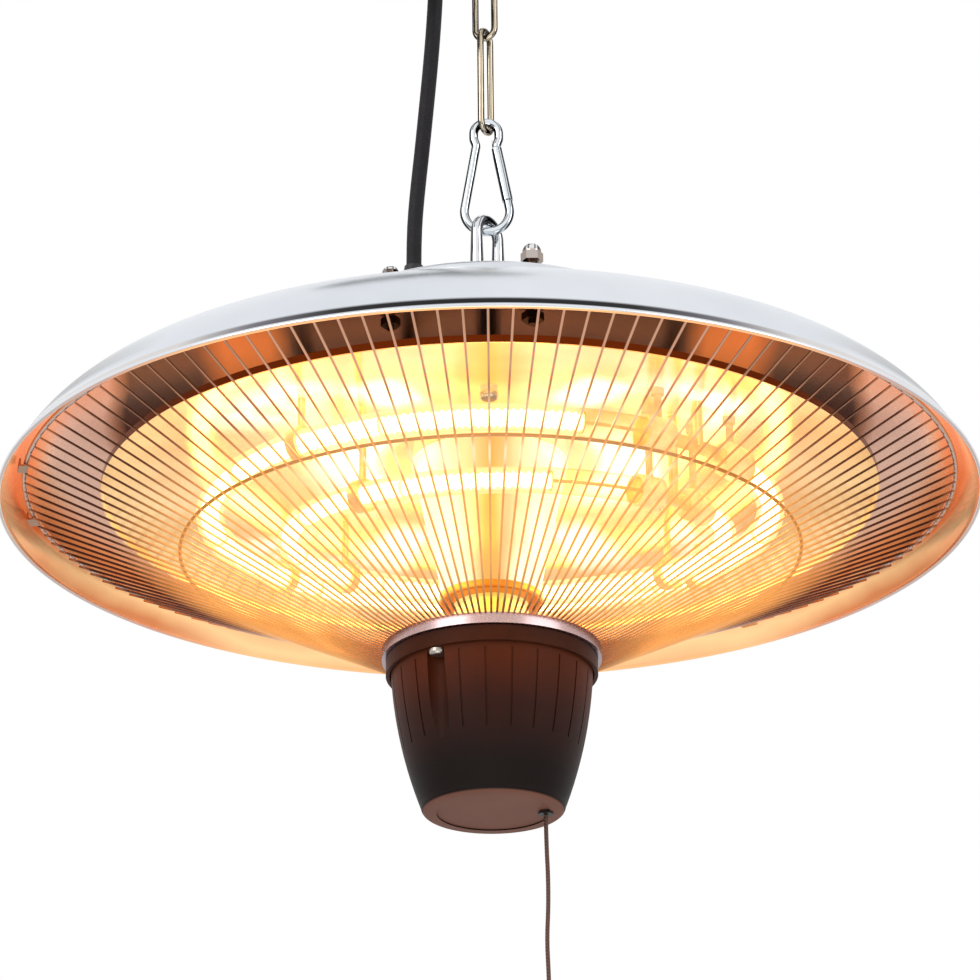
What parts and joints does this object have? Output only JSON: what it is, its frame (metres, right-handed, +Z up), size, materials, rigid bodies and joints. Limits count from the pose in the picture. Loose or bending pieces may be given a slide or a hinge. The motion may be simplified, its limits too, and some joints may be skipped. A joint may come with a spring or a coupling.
{
  "type": "hanging patio heater",
  "caption": "Ceiling-hung radiant heater: shallow metal shade over glowing ring lamps behind a wire guard, with a pull-cord switch, snap hook, chain and mains lead.",
  "frame": {"origin": "on the ceiling, at the middle of the fixing plate's flat top face", "axes": "+Z up into the ceiling, -Y towards the viewer of the picture, +X to the viewer's right"},
  "size_m": [0.425, 0.425, 0.6961],
  "materials": {
    "zinc_steel": "bright zinc plated steel",
    "chain_steel": "zinc plated steel wire",
    "chrome_steel": "polished nickel-chrome plated steel",
    "spring_steel": "spring steel wire",
    "shade_metal": "silver lacquered aluminium outside, polished inside",
    "cap_metal": "silver lacquered aluminium",
    "reflector_metal": "polished aluminium",
    "column_metal": "polished steel",
    "spine_metal": "zinc plated tube",
    "spacer_metal": "turned aluminium",
    "quartz": "clear quartz tube",
    "filament": "glowing carbon filament with support rings",
    "ceramic": "steatite end cap",
    "holder_steel": "stainless strip and wire",
    "lead_sleeve": "glass-fibre sleeved lead",
    "grommet_ceramic": "ceramic bush",
    "guard_wire": "chrome plated steel wire",
    "lid_metal": "dark bronze lacquer",
    "housing_plastic": "dark brown heat-resistant plastic",
    "switch_plastic": "black plastic",
    "drum_plastic": "natural nylon",
    "terminal_plastic": "white terminal block",
    "bush_plastic": "black bush",
    "cord_braid": "brown braided cord",
    "knob_plastic": "dark brown knob",
    "gland_plastic": "black polyamide",
    "cable_rubber": "black rubber sheath",
    "strap_fabric": "black hook-and-loop strap",
    "plug_rubber": "black rubber plug",
    "pin_metal": "nickel plated brass pins"
  },
  "bodies": {
    "ceiling_mount": {"ceiling_plate": "zinc_steel", "ceiling_hook": "zinc_steel", "hook_nut": "zinc_steel"},
    "link_3": {"chain_link_3": "chain_steel"},
    "link_2": {"chain_link_2": "chain_steel"},
    "link_1": {"chain_link_1": "chain_steel"},
    "snap_hook": {"snap_hook_body": "chrome_steel", "gate_pin": "spring_steel", "mains_cable": "cable_rubber", "mains_coil": "cable_rubber", "cable_tie": "strap_fabric", "mains_plug": "plug_rubber", "plug_pins": "pin_metal"},
    "gate": {"snap_hook_gate": "chrome_steel", "gate_spring": "spring_steel"},
    "cord_slide": {"switch_cord": "cord_braid"},
    "drum": {"switch_drum": "drum_plastic"},
    "pull_cord": {"pull_cord": "cord_braid", "pull_knob": "knob_plastic"},
    "heater": {"eye_nut": "chrome_steel", "top_cap": "cap_metal", "acorn_nuts": "chrome_steel", "cap_studs": "zinc_steel", "cap_screws": "chrome_steel", "cap_nuts": "zinc_steel", "spacers": "spacer_metal", "shade": "shade_metal", "spine_tube": "spine_metal", "spine_nuts": "zinc_steel", "reflector": "reflector_metal", "reflector_screws": "zinc_steel", "column_cone": "column_metal", "column_ring": "column_metal", "column_sleeve": "column_metal", "outer_lamp_tube": "quartz", "inner_lamp_tube": "quartz", "outer_lamp_core": "filament", "inner_lamp_core": "filament", "lamp_caps": "ceramic", "lamp_clips": "holder_steel", "lamp_straps": "holder_steel", "lamp_leads": "lead_sleeve", "reflector_grommets": "grommet_ceramic", "wire_guard": "guard_wire", "guard_outer_ring": "guard_wire", "guard_middle_ring": "guard_wire", "guard_clips": "holder_steel", "housing_lid": "lid_metal", "switch_housing": "housing_plastic", "housing_screws": "zinc_steel", "switch_body": "switch_plastic", "switch_bracket": "zinc_steel", "drum_axle": "spring_steel", "drum_spring": "spring_steel", "terminal_block": "terminal_plastic", "cord_bush": "bush_plastic", "cable_gland": "gland_plastic", "gland_nut": "gland_plastic", "gland_sleeve": "gland_plastic", "inner_lead": "cable_rubber"}
  },
  "joints": [
    {"name": "link_3_swing", "type": "hinge", "parent": "ceiling_mount", "child": "link_3", "pos_m": [0, 0, -0.061], "axis": [1, 0, 0], "range_deg": [-10, 10]},
    {"name": "link_2_swing", "type": "hinge", "parent": "link_3", "child": "link_2", "pos_m": [0, 0, -0.1071], "axis": [0, 1, 0], "range_deg": [-4, 4]},
    {"name": "link_1_swing", "type": "hinge", "parent": "link_2", "child": "link_1", "pos_m": [0, 0, -0.1541], "axis": [0.9272, -0.3746, 0], "range_deg": [-3, 3]},
    {"name": "snap_hook_swing", "type": "hinge", "parent": "link_1", "child": "snap_hook", "pos_m": [0, 0, -0.2012], "axis": [0.4695, 0.8829, 0], "range_deg": [-3, 3], "deforming": ["cable_tie"]},
    {"name": "gate_swing", "type": "hinge", "parent": "snap_hook", "child": "gate", "pos_m": [0.0049, 0, -0.2117], "axis": [0, 1, 0], "range_deg": [0, 22], "stiffness_Nm_per_rad": 0.02, "springref_deg": -11.46},
    {"name": "heater_swing", "type": "hinge", "parent": "snap_hook", "child": "heater", "pos_m": [0, 0, -0.2506], "axis": [1, 0, 0], "range_deg": [-5, 5], "deforming": ["mains_cable"]},
    {"name": "cord_pull", "type": "slide", "parent": "heater", "child": "cord_slide", "axis": [0, 0, -1], "range_m": [0, 0.008], "stiffness_N_per_m": 250, "springref_m": -0.008},
    {"name": "drum_turn", "type": "hinge", "parent": "heater", "child": "drum", "pos_m": [0.014, 0, -0.48395], "axis": [0, 1, 0], "range_deg": [0, 57.5]},
    {"name": "pull_cord_swing", "type": "hinge", "parent": "cord_slide", "child": "pull_cord", "pos_m": [0.022, 0, -0.52215], "axis": [0, 1, 0], "range_deg": [-25, 25]}
  ],
  "couplings": [
    {"joint": "drum_turn", "follows": "cord_pull", "rad_per_m": 125}
  ]
}
